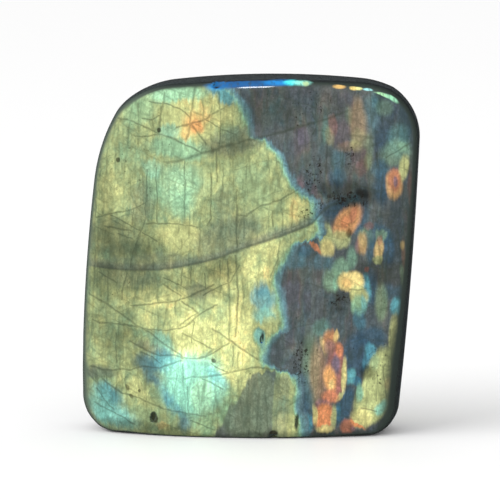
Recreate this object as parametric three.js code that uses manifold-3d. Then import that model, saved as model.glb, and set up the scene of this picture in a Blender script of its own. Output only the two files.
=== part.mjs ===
// A freeform of polished labradorite that stands on its sawn base.
// It is one piece of stone: a thick slab with two domed, polished faces, an edge that is ground round,
// four corners of different radii, and a few pits where dark mineral grains broke out of the polish.
// Millimetres. X is to the right of the face with the flash, Y goes through the stone towards its back,
// and Z is up. The origin is the middle of the base, and the face with the flash looks along -Y.

import * as THREE from "three";
import { mergeVertices } from "three/addons/utils/BufferGeometryUtils.js";
import Module from "manifold-3d";

// Driving sizes
const HEIGHT = 90;
const FRONT_DEPTH = 14.2; // from the middle plane to the front face, low down
const BACK_DEPTH = 12.8;
const CENTRE_Z = 44; // the outline is sampled round this height

// Each side of the outline is a long, shallow arc: a point on it, the way it leans and its radius
const LEFT_SIDE = arc(-41.2, 38.3, 180 - 3.8, 460);
const SHOULDER_HEIGHT = 64; // above this the left side turns in with a radius of its own
const SHOULDER_SIDE = goesOnAbove(LEFT_SIDE, SHOULDER_HEIGHT, 44);
const RIGHT_SIDE = arc(40.8, 41.6, -3.9, 1070);
const TOP_SIDE = arc(6.8, HEIGHT, 90, 228);
const TOP_LEFT_RADIUS = 6;
const TOP_RIGHT_RADIUS = 12.8;
const BOTTOM_RIGHT_RADIUS = 6.9;
const BOTTOM_LEFT_RADIUS = 8.8;

// The two polished faces: how fast each one domes across and up, and how it leans back
const FRONT_FACE = { depth: FRONT_DEPTH, across: 150, up: 650, lean: 0.012 };
const BACK_FACE = { depth: BACK_DEPTH, across: 165, up: 600, lean: 0.014 };
const DOME_CENTRE_Z = 38;

// The ground edge: its own bulge, and the radius where it meets the faces
const EDGE_BULGE_RADIUS = 50;
const ARRIS_RADIUS = 2.3;
const BASE_ARRIS_RADIUS = 0.9;
// Two low corners are ground rounder: where, how much rounder and how far it spreads
const SOFT_CORNERS = [
  { x: 39, z: 13, extra: 4.2, spread: 15 },
  { x: -40, z: 6, extra: 3.4, spread: 12 },
];

// The slight waves that hand polishing leaves in the faces
const WAVE_HEIGHT = 0.09;
const WAVE_LENGTH_X = 31;
const WAVE_LENGTH_Z = 38;

// Pits in the front face: place, half sizes across, deep and up, and turn about Y in degrees
const PITS = [
  { x: -23.5, z: 4.9, size: [0.8, 0.9, 1.5], turn: 12 },
  { x: -7, z: 88.4, size: [1.6, 1.3, 0.9], turn: -35 },
  { x: 6.6, z: 0.5, size: [1.2, 0.8, 0.8], turn: 0 },
  { x: 12.6, z: 4, size: [0.5, 0.7, 2.4], turn: -4 },
  { x: 3.8, z: 25.3, size: [0.5, 0.6, 1.1], turn: 5 },
];

// How finely the surface is faceted
const AROUND = 124;
const TURN_SPACING = 16; // a turn of one radian gets the points of this many millimetres
const OUTLINE_SAMPLES = 1440;
const FACE_RINGS = 6;
const ARRIS_STEPS = 5;
const WALL_STEPS = 4;
const RIM_INSET = 10.5; // the rim is swept from a line this far inside the outline
const RIM_HALF_DEPTH = 13;
const RIM_CORNER_RADIUS = 3;
const BISECTIONS = 40;
const MAX_REACH = 70;
const BASE_SNAP = 1e-3;
const FORWARD = new THREE.Vector3(0, -1, 0);
const BACKWARD = new THREE.Vector3(0, 1, 0);

// A side of the outline through (x, z), with its outward normal at `degrees` from +X, bulging with `radius`.
function arc(x, z, degrees, radius) {
  const angle = THREE.MathUtils.degToRad(degrees);
  return { x: x - radius * Math.cos(angle), z: z - radius * Math.sin(angle), radius };
}

// The arc with another radius that goes on smoothly from a left-hand side at a height.
function goesOnAbove(side, height, radius) {
  const rise = height - side.z;
  const x = side.x - Math.sqrt(side.radius ** 2 - rise ** 2);
  const share = radius / side.radius;
  return { x: x + (side.x - x) * share, z: height - rise * share, radius };
}

const beyondArc = (side, x, z) => Math.hypot(x - side.x, z - side.z) - side.radius;

// Where two surfaces meet, a fillet of the given radius. Each value is negative inside the stone.
function fillet(a, b, radius) {
  const corner = Math.hypot(Math.max(radius + a, 0), Math.max(radius + b, 0));
  return Math.min(-radius, Math.max(a, b)) + corner;
}

// How far (x, z) is outside the outline seen from the front. The base is the plane z = 0.
function beyondOutline(x, z) {
  const left = beyondArc(z > SHOULDER_HEIGHT ? SHOULDER_SIDE : LEFT_SIDE, x, z);
  const top = beyondArc(TOP_SIDE, x, z);
  const right = beyondArc(RIGHT_SIDE, x, z);
  const base = -z;
  return Math.max(
    fillet(left, top, TOP_LEFT_RADIUS),
    fillet(top, right, TOP_RIGHT_RADIUS),
    fillet(right, base, BOTTOM_RIGHT_RADIUS),
    fillet(base, left, BOTTOM_LEFT_RADIUS),
  );
}

// How deep a domed face stands from the middle plane at (x, z).
function faceDepth(face, x, z) {
  const dome = (x * x) / (2 * face.across) + (z - DOME_CENTRE_Z) ** 2 / (2 * face.up);
  const wave =
    WAVE_HEIGHT *
    Math.sin((2 * Math.PI * x) / WAVE_LENGTH_X + z / WAVE_LENGTH_Z) *
    Math.sin((2 * Math.PI * z) / WAVE_LENGTH_Z + 1);
  return face.depth - dome - face.lean * z + wave;
}

// The fillet between the edge and a face: small along the base, larger at the two soft corners.
function arrisRadius(x, z) {
  const nearBase = 1 - THREE.MathUtils.smoothstep(z, 0, 7);
  const radius = THREE.MathUtils.lerp(ARRIS_RADIUS, BASE_ARRIS_RADIUS, nearBase);
  return SOFT_CORNERS.reduce((sum, soft) => {
    const distance = Math.hypot(x - soft.x, z - soft.z);
    return sum + soft.extra * Math.exp(-0.5 * (distance / soft.spread) ** 2);
  }, radius);
}

// Negative inside the stone, positive outside.
function beyondStone(x, y, z) {
  const bulge = z > 0 ? (y * y) / (2 * EDGE_BULGE_RADIUS) : 0;
  const flatBase = THREE.MathUtils.smoothstep(z, 0, 5);
  const edge = beyondOutline(x, z) + bulge * flatBase;
  const front = -y - faceDepth(FRONT_FACE, x, z);
  const back = y - faceDepth(BACK_FACE, x, z);
  const radius = arrisRadius(x, z);
  return Math.max(fillet(edge, front, radius), fillet(edge, back, radius));
}

// The point where a ray from inside the stone leaves it.
function leaves(from, direction) {
  let near = 0;
  let far = MAX_REACH;
  const at = new THREE.Vector3();
  for (let i = 0; i < BISECTIONS; i++) {
    const middle = (near + far) / 2;
    at.copy(from).addScaledVector(direction, middle);
    if (beyondStone(at.x, at.y, at.z) < 0) near = middle;
    else far = middle;
  }
  if (Math.abs(at.z) < BASE_SNAP) at.z = 0;
  return at;
}

// The directions of the rim's rays, as [outward, along Y]: up the front, round an arris, across the edge,
// round the other arris and down the back, as round a rectangle with rounded corners.
function rimDirections() {
  const arcCentre = [RIM_INSET - RIM_CORNER_RADIUS, RIM_HALF_DEPTH - RIM_CORNER_RADIUS];
  const half = [[arcCentre[0] / 2, RIM_HALF_DEPTH]];
  for (let i = 0; i <= ARRIS_STEPS; i++) {
    const angle = (Math.PI / 2) * (1 - i / ARRIS_STEPS);
    half.push([
      arcCentre[0] + RIM_CORNER_RADIUS * Math.cos(angle),
      arcCentre[1] + RIM_CORNER_RADIUS * Math.sin(angle),
    ]);
  }
  const front = half.map(([out, deep]) => [out, -deep]);
  const wall = [];
  for (let i = 1; i < WALL_STEPS; i++) {
    wall.push([RIM_INSET, arcCentre[1] * ((2 * i) / WALL_STEPS - 1)]);
  }
  return [...front, ...wall, ...half.reverse()];
}

// Angles round the outline, evenly spaced by its length and more closely where it turns.
function outlineAngles(centre) {
  const angles = Array.from(
    { length: OUTLINE_SAMPLES + 1 },
    (_, i) => (2 * Math.PI * i) / OUTLINE_SAMPLES,
  );
  const points = angles.map((angle) =>
    leaves(centre, new THREE.Vector3(Math.cos(angle), 0, Math.sin(angle))),
  );
  const run = [0];
  for (let i = 1; i < points.length; i++) {
    const step = points[i].clone().sub(points[i - 1]);
    const after = points[(i + 1) % OUTLINE_SAMPLES].clone().sub(points[i % OUTLINE_SAMPLES]);
    run.push(run[i - 1] + step.length() + TURN_SPACING * step.angleTo(after));
  }
  let sample = 0;
  return Array.from({ length: AROUND }, (_, i) => {
    while (run[sample] < (run.at(-1) * i) / AROUND) sample++;
    return angles[sample];
  });
}

// The stone's surface: a fan and rings over the front face, the rim, and rings and a fan over the back.
function stoneGeometry() {
  const centre = new THREE.Vector3(0, 0, CENTRE_Z);
  const rim = rimDirections();
  const rings = Array.from({ length: 2 * FACE_RINGS + rim.length }, () => []);
  for (const angle of outlineAngles(centre)) {
    const outward = new THREE.Vector3(Math.cos(angle), 0, Math.sin(angle));
    const reach = leaves(centre, outward).distanceTo(centre) - RIM_INSET;
    for (let ring = 1; ring <= FACE_RINGS; ring++) {
      const from = centre.clone().addScaledVector(outward, (reach * ring) / FACE_RINGS);
      rings[ring - 1].push(leaves(from, FORWARD));
      rings[rings.length - ring].push(leaves(from, BACKWARD));
    }
    const from = centre.clone().addScaledVector(outward, reach);
    rim.forEach(([out, along], step) => {
      const direction = outward.clone().multiplyScalar(out).setY(along).normalize();
      rings[FACE_RINGS + step].push(leaves(from, direction));
    });
  }
  const corners = [];
  const triangle = (a, b, c) => corners.push(...a.toArray(), ...b.toArray(), ...c.toArray());
  const frontPole = leaves(centre, FORWARD);
  const backPole = leaves(centre, BACKWARD);
  for (let i = 0; i < AROUND; i++) {
    const next = (i + 1) % AROUND;
    triangle(frontPole, rings[0][i], rings[0][next]);
    triangle(backPole, rings.at(-1)[next], rings.at(-1)[i]);
    for (let ring = 0; ring < rings.length - 1; ring++) {
      const [a, b] = [rings[ring][i], rings[ring][next]];
      const [c, d] = [rings[ring + 1][next], rings[ring + 1][i]];
      triangle(a, d, b);
      triangle(b, d, c);
    }
  }
  return new THREE.BufferGeometry().setAttribute(
    "position",
    new THREE.Float32BufferAttribute(corners, 3),
  );
}

// A pit is a small ellipsoid that is taken out of the surface.
function pitGeometry({ x, z, size, turn }) {
  const geometry = new THREE.IcosahedronGeometry(1, 1);
  const { y } = leaves(new THREE.Vector3(x, 0, z), FORWARD);
  geometry.scale(...size);
  geometry.rotateY(THREE.MathUtils.degToRad(turn));
  return geometry.translate(x, y, z);
}

const wasm = await Module();
wasm.setup();

function solidOf(geometry) {
  const bare = geometry.index ? geometry.toNonIndexed() : geometry.clone();
  bare.deleteAttribute("normal");
  bare.deleteAttribute("uv");
  const merged = mergeVertices(bare, 1e-4);
  return new wasm.Manifold(
    new wasm.Mesh({
      numProp: 3,
      vertProperties: merged.attributes.position.array,
      triVerts: new Uint32Array(merged.index.array),
    }),
  );
}

function geometryOf(solid) {
  const { numProp, numVert, vertProperties, triVerts } = solid.getMesh();
  const positions = new Float32Array(numVert * 3);
  for (let i = 0; i < numVert; i++) {
    positions.set(vertProperties.subarray(i * numProp, i * numProp + 3), i * 3);
  }
  const geometry = new THREE.BufferGeometry();
  geometry.setAttribute("position", new THREE.BufferAttribute(positions, 3));
  geometry.setIndex(new THREE.BufferAttribute(triVerts, 1));
  geometry.computeVertexNormals();
  return geometry;
}

const stone = PITS.reduce(
  (solid, pit) => solid.subtract(solidOf(pitGeometry(pit))),
  solidOf(stoneGeometry()),
);

const labradorite = new THREE.Mesh(
  geometryOf(stone),
  new THREE.MeshStandardMaterial({ color: 0x75806a, roughness: 0.15, metalness: 0.1 }),
);
labradorite.name = "labradorite";
const middle = new THREE.Box3().setFromObject(labradorite).getCenter(new THREE.Vector3());
labradorite.position.set(-middle.x, -middle.y, 0);

const part = new THREE.Group();
part.add(labradorite);

export default part;
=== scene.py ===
import math

import bmesh
import bpy
import numpy as np
from mathutils import Matrix, Vector


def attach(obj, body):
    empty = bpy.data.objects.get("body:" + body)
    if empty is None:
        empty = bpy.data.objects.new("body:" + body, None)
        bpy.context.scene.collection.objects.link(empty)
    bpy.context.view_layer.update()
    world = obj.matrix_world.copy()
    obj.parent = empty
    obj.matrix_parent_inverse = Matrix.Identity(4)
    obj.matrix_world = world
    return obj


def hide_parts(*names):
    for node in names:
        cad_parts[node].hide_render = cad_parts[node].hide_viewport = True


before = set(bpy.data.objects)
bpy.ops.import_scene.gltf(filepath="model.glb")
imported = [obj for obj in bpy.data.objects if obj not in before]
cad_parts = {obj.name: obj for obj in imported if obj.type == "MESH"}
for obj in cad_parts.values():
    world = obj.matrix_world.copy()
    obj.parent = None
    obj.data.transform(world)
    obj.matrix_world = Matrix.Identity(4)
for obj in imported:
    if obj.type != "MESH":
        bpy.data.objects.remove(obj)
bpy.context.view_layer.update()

# The stone's shape
# A thick slab of labradorite, ground to a rounded square with four different corners. Both faces are domed
# and polished, the edge is ground round, and the sawn base lets it stand. All one piece, in millimetres here.

HEIGHT = 90.0
CENTRE_Z = 44.0


def arc(x, z, degrees, radius):
    """A shallow side of the outline through (x, z), with its outward normal at `degrees` from +X."""
    angle = math.radians(degrees)
    return x - radius * math.cos(angle), z - radius * math.sin(angle), radius


def goes_on_above(side, height, radius):
    """The arc with another radius that goes on smoothly from a left-hand side at a height."""
    side_x, side_z, side_radius = side
    rise = height - side_z
    x = side_x - math.sqrt(side_radius**2 - rise**2)
    share = radius / side_radius
    return x + (side_x - x) * share, height - rise * share, radius


LEFT_SIDE = arc(-41.2, 38.3, 180 - 3.8, 460)
SHOULDER_HEIGHT = 64.0
SHOULDER_SIDE = goes_on_above(LEFT_SIDE, SHOULDER_HEIGHT, 44)
RIGHT_SIDE = arc(40.8, 41.6, -3.9, 1070)
TOP_SIDE = arc(6.8, HEIGHT, 90, 228)
TOP_LEFT_RADIUS = 6.0
TOP_RIGHT_RADIUS = 12.8
BOTTOM_RIGHT_RADIUS = 6.9
BOTTOM_LEFT_RADIUS = 8.8

# How far a face stands from the middle plane, how fast it domes across and up, and how it leans back
FRONT_FACE = {"depth": 14.2, "across": 150.0, "up": 650.0, "lean": 0.012}
BACK_FACE = {"depth": 12.8, "across": 165.0, "up": 600.0, "lean": 0.014}
DOME_CENTRE_Z = 38.0
WAVE_HEIGHT = 0.09
WAVE_LENGTH_X = 31.0
WAVE_LENGTH_Z = 38.0

EDGE_BULGE_RADIUS = 50.0
ARRIS_RADIUS = 2.3
BASE_ARRIS_RADIUS = 0.9
# Two low corners are ground rounder: where, how much rounder and how far it spreads
SOFT_CORNERS = [
    {"x": 39, "z": 13, "extra": 4.2, "spread": 15},
    {"x": -40, "z": 6, "extra": 3.4, "spread": 12},
]

# Pits in the front face: place, half sizes across, deep and up, and turn about Y in degrees
PITS = [
    {"x": -23.5, "z": 4.9, "size": (0.8, 0.9, 1.5), "turn": 12},
    {"x": -7, "z": 88.4, "size": (1.6, 1.3, 0.9), "turn": -35},
    {"x": 6.6, "z": 0.5, "size": (1.2, 0.8, 0.8), "turn": 0},
    {"x": 12.6, "z": 4, "size": (0.5, 0.7, 2.4), "turn": -4},
    {"x": 3.8, "z": 25.3, "size": (0.5, 0.6, 1.1), "turn": 5},
]
# The mesh is finer round a pit, out to this many of its half sizes, where it faces the front
PIT_SURROUND = 2.2
PIT_CUTS = 2
FACES_FRONT = -0.3

AROUND = 360
TURN_SPACING = 16.0
OUTLINE_SAMPLES = 2880
FRONT_RINGS = 56
BACK_RINGS = 24
FLAT_STEPS = 10
ARRIS_STEPS = 14
WALL_STEPS = 12
RIM_INSET = 10.5
RIM_HALF_DEPTH = 13.0
RIM_CORNER_RADIUS = 3.0
BISECTIONS = 40
BASE_TOLERANCE = 1e-3
METRES_PER_MM = 0.001
MAX_REACH = 70.0


def smoothstep(value, low, high):
    t = np.clip((value - low) / (high - low), 0, 1)
    return t * t * (3 - 2 * t)


def fillet(a, b, radius):
    """Where two surfaces meet, a fillet of the given radius. Each value is negative inside the stone."""
    corner = np.hypot(np.maximum(radius + a, 0), np.maximum(radius + b, 0))
    return np.minimum(-radius, np.maximum(a, b)) + corner


def beyond_outline(x, z):
    lower_left, shoulder, top, right = (
        np.hypot(x - side_x, z - side_z) - radius
        for side_x, side_z, radius in (LEFT_SIDE, SHOULDER_SIDE, TOP_SIDE, RIGHT_SIDE)
    )
    left = np.where(z > SHOULDER_HEIGHT, shoulder, lower_left)
    return np.maximum.reduce([
        fillet(left, top, TOP_LEFT_RADIUS),
        fillet(top, right, TOP_RIGHT_RADIUS),
        fillet(right, -z, BOTTOM_RIGHT_RADIUS),
        fillet(-z, left, BOTTOM_LEFT_RADIUS),
    ])


def face_depth(face, x, z):
    """How deep a domed face stands from the middle plane, with the slight waves of hand polishing."""
    dome = x**2 / (2 * face["across"]) + (z - DOME_CENTRE_Z) ** 2 / (2 * face["up"])
    across = np.sin(2 * np.pi * x / WAVE_LENGTH_X + z / WAVE_LENGTH_Z)
    up = np.sin(2 * np.pi * z / WAVE_LENGTH_Z + 1)
    return face["depth"] - dome - face["lean"] * z + WAVE_HEIGHT * across * up


def arris_radius(x, z):
    near_base = 1 - smoothstep(z, 0, 7)
    radius = ARRIS_RADIUS + (BASE_ARRIS_RADIUS - ARRIS_RADIUS) * near_base
    for soft in SOFT_CORNERS:
        distance = np.hypot(x - soft["x"], z - soft["z"])
        radius = radius + soft["extra"] * np.exp(-0.5 * (distance / soft["spread"]) ** 2)
    return radius


def beyond_stone(points):
    """Negative inside the stone, positive outside."""
    x, y, z = points.T
    bulge = np.where(z > 0, y**2 / (2 * EDGE_BULGE_RADIUS), 0) * smoothstep(z, 0, 5)
    edge = beyond_outline(x, z) + bulge
    radius = arris_radius(x, z)
    front = fillet(edge, -y - face_depth(FRONT_FACE, x, z), radius)
    back = fillet(edge, y - face_depth(BACK_FACE, x, z), radius)
    return np.maximum(front, back)


def leaves(start, direction):
    """The points where rays from inside the stone leave it."""
    near = np.zeros(len(start))
    far = np.full(len(start), MAX_REACH)
    for _ in range(BISECTIONS):
        middle = (near + far) / 2
        inside = beyond_stone(start + direction * middle[:, None]) < 0
        near = np.where(inside, middle, near)
        far = np.where(inside, far, middle)
    points = start + direction * near[:, None]
    points[np.abs(points[:, 2]) < BASE_TOLERANCE, 2] = 0
    return points


def outline_angles(centre):
    """Angles round the outline, evenly spaced by its length and more closely where it turns."""
    angles = np.linspace(0, 2 * np.pi, OUTLINE_SAMPLES + 1)
    outward = np.stack([np.cos(angles), np.zeros_like(angles), np.sin(angles)], axis=1)
    points = leaves(np.broadcast_to(centre, outward.shape), outward)
    steps = np.diff(points, axis=0)
    heading = np.unwrap(np.arctan2(steps[:, 2], steps[:, 0]))
    turn = np.abs(np.diff(heading, append=heading[0] + 2 * np.pi))
    run = np.concatenate([[0], np.cumsum(np.linalg.norm(steps, axis=1) + TURN_SPACING * turn)])
    return np.interp(np.arange(AROUND) * run[-1] / AROUND, run, angles)


def rim_directions():
    """The rim's rays as (outward, along Y): up the front, round an arris, over the edge and down the back."""
    out = RIM_INSET - RIM_CORNER_RADIUS
    deep = RIM_HALF_DEPTH - RIM_CORNER_RADIUS
    flat = [(out * step / FLAT_STEPS, RIM_HALF_DEPTH) for step in range(1, FLAT_STEPS)]
    turns = [math.pi / 2 * (1 - step / ARRIS_STEPS) for step in range(ARRIS_STEPS + 1)]
    corner = [
        (out + RIM_CORNER_RADIUS * math.cos(turn), deep + RIM_CORNER_RADIUS * math.sin(turn))
        for turn in turns
    ]
    half = flat + corner
    front = [(along, -depth) for along, depth in half]
    wall = [(RIM_INSET, deep * (2 * step / WALL_STEPS - 1)) for step in range(1, WALL_STEPS)]
    return front + wall + half[::-1]


def stone_rings():
    """Rings of points from the middle of the front face, over the rim, to the middle of the back."""
    centre = np.array([0, 0, CENTRE_Z])
    angles = outline_angles(centre)
    outward = np.stack([np.cos(angles), np.zeros(AROUND), np.sin(angles)], axis=1)
    edge = leaves(np.broadcast_to(centre, outward.shape), outward)
    reach = np.linalg.norm(edge - centre, axis=1) - RIM_INSET
    forward = np.broadcast_to([0, -1.0, 0], outward.shape)

    def face_ring(share, way):
        return leaves(centre + outward * (reach * share)[:, None], way)

    rings = [face_ring(ring / FRONT_RINGS, forward) for ring in range(1, FRONT_RINGS + 1)]
    for out, along in rim_directions():
        direction = outward * out + np.array([0, along, 0])
        direction = direction / np.linalg.norm(direction, axis=1)[:, None]
        rings.append(leaves(centre + outward * reach[:, None], direction))
    rings += [face_ring(ring / BACK_RINGS, -forward) for ring in range(BACK_RINGS, 0, -1)]
    poles = leaves(np.stack([centre, centre]), np.array([[0, -1.0, 0], [0, 1.0, 0]]))
    return rings, poles


def stone_mesh():
    rings, poles = stone_rings()
    solid = bmesh.new()
    rows = [[solid.verts.new(point) for point in ring] for ring in rings]
    front_pole, back_pole = (solid.verts.new(point) for point in poles)
    for i in range(AROUND):
        after = (i + 1) % AROUND
        solid.faces.new((front_pole, rows[0][i], rows[0][after]))
        solid.faces.new((back_pole, rows[-1][after], rows[-1][i]))
        for row, next_row in zip(rows, rows[1:]):
            solid.faces.new((row[i], next_row[i], next_row[after], row[after]))
    return solid


def pit_offset(pit, point):
    """Where a point lies in a pit's own half sizes, seen from the front: 1 is its rim."""
    turn = math.radians(pit["turn"])
    across, up = point.x - pit["x"], point.z - pit["z"]
    width, _, height = pit["size"]
    turned_across = (across * math.cos(turn) - up * math.sin(turn)) / width
    turned_up = (across * math.sin(turn) + up * math.cos(turn)) / height
    return math.hypot(turned_across, turned_up)


def sink_pits(solid):
    """Refines the front face round each pit and sinks it there."""
    for pit in PITS:
        near = [
            face
            for face in solid.faces
            if face.normal.y < FACES_FRONT and pit_offset(pit, face.calc_center_median()) < PIT_SURROUND
        ]
        edges = list({edge for face in near for edge in face.edges})
        bmesh.ops.subdivide_edges(solid, edges=edges, cuts=PIT_CUTS, use_grid_fill=True)
        bmesh.ops.triangulate(solid, faces=[face for face in solid.faces if len(face.verts) > 4])
        for vert in solid.verts:
            offset = pit_offset(pit, vert.co)
            if offset < 1 and vert.co.y < 0:
                vert.co.y += pit["size"][1] * math.sqrt(1 - offset**2)


solid = stone_mesh()
solid.normal_update()
sink_pits(solid)
corners = np.array([vert.co for vert in solid.verts])
middle = (corners.min(axis=0) + corners.max(axis=0)) / 2
to_frame = Matrix.Scale(METRES_PER_MM, 4) @ Matrix.Translation((-middle[0], -middle[1], 0))
bmesh.ops.transform(solid, matrix=to_frame, verts=solid.verts)
bmesh.ops.recalc_face_normals(solid, faces=solid.faces)
mesh = bpy.data.meshes.new("labradorite_stone")
solid.to_mesh(mesh)
solid.free()
mesh.shade_smooth()
stone = bpy.data.objects.new("labradorite_stone", mesh)
bpy.context.scene.collection.objects.link(stone)
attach(stone, "root")
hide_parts("labradorite")

# The stone's inside
# Labradorite is a feldspar grown in thin twinned plates. Light coming back from between them makes the
# flash, whose colour goes with their thickness, so one height field stands for it. Where the plates are
# disturbed the stone is plain grey. The marks go through the whole block, so they run on over its edge.


def add(tree, kind, *feeds, **settings):
    """Adds a node with its settings, and feeds its inputs in order with values or other nodes' outputs."""
    node = tree.nodes.new("ShaderNode" + kind)
    for name, value in settings.items():
        setattr(node, name, value)
    feed_inputs(tree, node.inputs, feeds)
    return node


def feed_inputs(tree, sockets, feeds):
    for socket, feed in zip(sockets, feeds):
        if isinstance(feed, bpy.types.NodeSocket):
            tree.links.new(feed, socket)
        elif feed is not None:
            socket.default_value = feed


def calculate(tree, operation, *feeds):
    return add(tree, "Math", *feeds, operation=operation).outputs[0]


def times(tree, first, second):
    return calculate(tree, "MULTIPLY", first, second)


def greater(tree, first, second):
    return calculate(tree, "MAXIMUM", first, second)


def vectors(tree, operation, *feeds):
    return add(tree, "VectorMath", *feeds, operation=operation).outputs[0]


def scaled(tree, vector, factor):
    return add(tree, "VectorMath", vector, None, None, factor, operation="SCALE").outputs[0]


def ease(tree, value, low, high, start=0.0, end=1.0):
    """Goes smoothly from start to end as the value goes from low to high."""
    node = add(tree, "MapRange", value, low, high, start, end, interpolation_type="SMOOTHSTEP", clamp=False)
    return node.outputs[0]


def noise(tree, place, scale, detail, roughness):
    """Cloudy noise, as its value and as three colour channels, with a scale along each axis."""
    node = add(tree, "TexNoise", vectors(tree, "MULTIPLY", place, scale), None, 1.0, detail, roughness)
    return node.outputs["Fac"], node.outputs["Color"]


def drift(tree, place, scale, detail, roughness):
    """Noise as a vector that lies evenly round zero."""
    _, colour = noise(tree, place, scale, detail, roughness)
    return vectors(tree, "SUBTRACT", colour, (0.5, 0.5, 0.5))


def swayed(tree, value, by, amount):
    """Moves a value by a noise from 0 to 1, evenly to both sides."""
    return calculate(tree, "MULTIPLY_ADD", calculate(tree, "SUBTRACT", by, 0.5), amount, value)


def mixed(tree, share, first, second, blend_type="MIX"):
    """Mixes two colours."""
    node = tree.nodes.new("ShaderNodeMix")
    node.data_type = "RGBA"
    node.blend_type = blend_type
    feed_inputs(tree, [node.inputs[0], node.inputs[6], node.inputs[7]], [share, first, second])
    return node.outputs[2]


def seen(red, green, blue):
    """A colour as it is seen, from 0 to 255, in the linear values that a shader takes."""
    linear = [
        level / 255 / 12.92 if level <= 10 else ((level / 255 + 0.055) / 1.055) ** 2.4
        for level in (red, green, blue)
    ]
    return (*linear, 1.0)


def new_group(name, inputs, output, output_kind="Float"):
    """Starts a node group. An input with the default None is a vector."""
    tree = bpy.data.node_groups.new(name, "ShaderNodeTree")
    for label, value in inputs.items():
        kind = "NodeSocketVector" if value is None else "NodeSocketFloat"
        socket = tree.interface.new_socket(label, in_out="INPUT", socket_type=kind)
        if value is not None:
            socket.default_value = value
    tree.interface.new_socket(output, in_out="OUTPUT", socket_type="NodeSocket" + output_kind)
    given = tree.nodes.new("NodeGroupInput").outputs
    result = tree.nodes.new("NodeGroupOutput").inputs
    return tree, given, result


def use(tree, group, *feeds):
    """Places a node group and returns its output."""
    node = tree.nodes.new("ShaderNodeGroup")
    node.node_tree = group
    feed_inputs(tree, node.inputs, feeds)
    return node.outputs[0]


def reach_along(tree, vector, axis):
    return add(tree, "VectorMath", vector, axis, operation="DOT_PRODUCT").outputs["Value"]


def reach_of(tree, place, middle, *axes):
    """How far a place lies from the middle along each axis."""
    offset = vectors(tree, "SUBTRACT", place, middle)
    return [reach_along(tree, offset, axis) for axis in axes]


def length_of(tree, first, second):
    pair = add(tree, "CombineXYZ", first, second, 0.0).outputs[0]
    return add(tree, "VectorMath", pair, operation="LENGTH").outputs["Value"]


# What every mark starts with, read in this order by reach_of
MARK_INPUTS = {"Place": None, "Middle": None, "Along": None, "Across": None}

# A rounded patch, right through the stone: the amount well inside it, and 0 at its border. Its axes are
# divided by its half sizes.
patch, given, result = new_group("Patch", {**MARK_INPUTS, "Soft Share": 0.5, "Amount": 1}, "Amount")
along, across = reach_of(patch, *given[:4])
full = calculate(patch, "SUBTRACT", 1.0, given["Soft Share"])
distance = length_of(patch, along, across)
patch.links.new(ease(patch, distance, 1.0, full, 0.0, given["Amount"]), result[0])

# One straight stretch of a healed crack: 1 along its middle, and 0 past its half width. Its axes are plain
# directions.
crack, given, result = new_group("Crack", {**MARK_INPUTS, "Half Length": 1, "Half Width": 0.2}, "Darkness")
along, across = reach_of(crack, *given[:4])
past_end = calculate(crack, "SUBTRACT", calculate(crack, "ABSOLUTE", along), given["Half Length"])
off_line = length_of(crack, greater(crack, past_end, 0.0), across)
crack.links.new(ease(crack, off_line, given["Half Width"], 0.0), result[0])

# The place bent by swirls and pulled about along the upright plates, so borders run ragged
BENT_INPUTS = {"Place": None, "Swirl": 2.0, "Ragged": 2.0}
SWIRL_SCALE = (0.12, 0.12, 0.12)
PLATE_SCALE = (0.85, 0.3, 0.13)
ALONG_PLATES = (0.4, 0.0, 1.0)
bent, given, result = new_group("Bent by the plates", BENT_INPUTS, "Place", "Vector")
swirl = scaled(bent, drift(bent, given["Place"], SWIRL_SCALE, 2.0, 0.5), given["Swirl"])
ragged = vectors(bent, "MULTIPLY", drift(bent, given["Place"], PLATE_SCALE, 3.0, 0.6), ALONG_PLATES)
ragged = scaled(bent, ragged, given["Ragged"])
bent.links.new(vectors(bent, "ADD", vectors(bent, "ADD", given["Place"], swirl), ragged), result[0])


def axes_at(turn, half_width=1.0, half_height=1.0):
    """Axes along and across a turn in degrees, counter-clockwise on the front, divided by the half sizes."""
    turn = math.radians(turn)
    along = (math.cos(turn) / half_width, 0.0, math.sin(turn) / half_width)
    across = (-math.sin(turn) / half_height, 0.0, math.cos(turn) / half_height)
    return along, across


def patch_at(tree, place, x, z, half_width, half_height, turn, edge, amount):
    """Places a patch: its middle, half sizes to the middle of its soft edge, turn, edge width and amount."""
    half_width += edge / 2
    half_height += edge / 2
    axes = axes_at(turn, half_width, half_height)
    return use(tree, patch, place, (x, 0.0, z), *axes, edge / min(half_width, half_height), amount)


def lay_patches(tree, place, rows, operation, start):
    """Lays patches over each other: name, x, z, half width, half height, turn, edge and amount."""
    for _, *numbers in rows:
        start = calculate(tree, operation, start, patch_at(tree, place, *numbers))
    return start


def lay_cracks(tree, place, cracks):
    """Lays cracks along their points, listed by their half widths."""
    darkest = 0.0
    for half_width, lines in cracks.items():
        stretches = [stretch for line in lines for stretch in zip(line, line[1:])]
        for (x, z), (end_x, end_z) in stretches:
            axes = axes_at(math.degrees(math.atan2(end_z - z, end_x - x)))
            half_length = math.hypot(end_x - x, end_z - z) / 2
            middle = ((x + end_x) / 2, 0.0, (z + end_z) / 2)
            darkness = use(tree, crack, place, middle, *axes, half_length, half_width)
            darkest = greater(tree, darkest, darkness)
    return darkest


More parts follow.
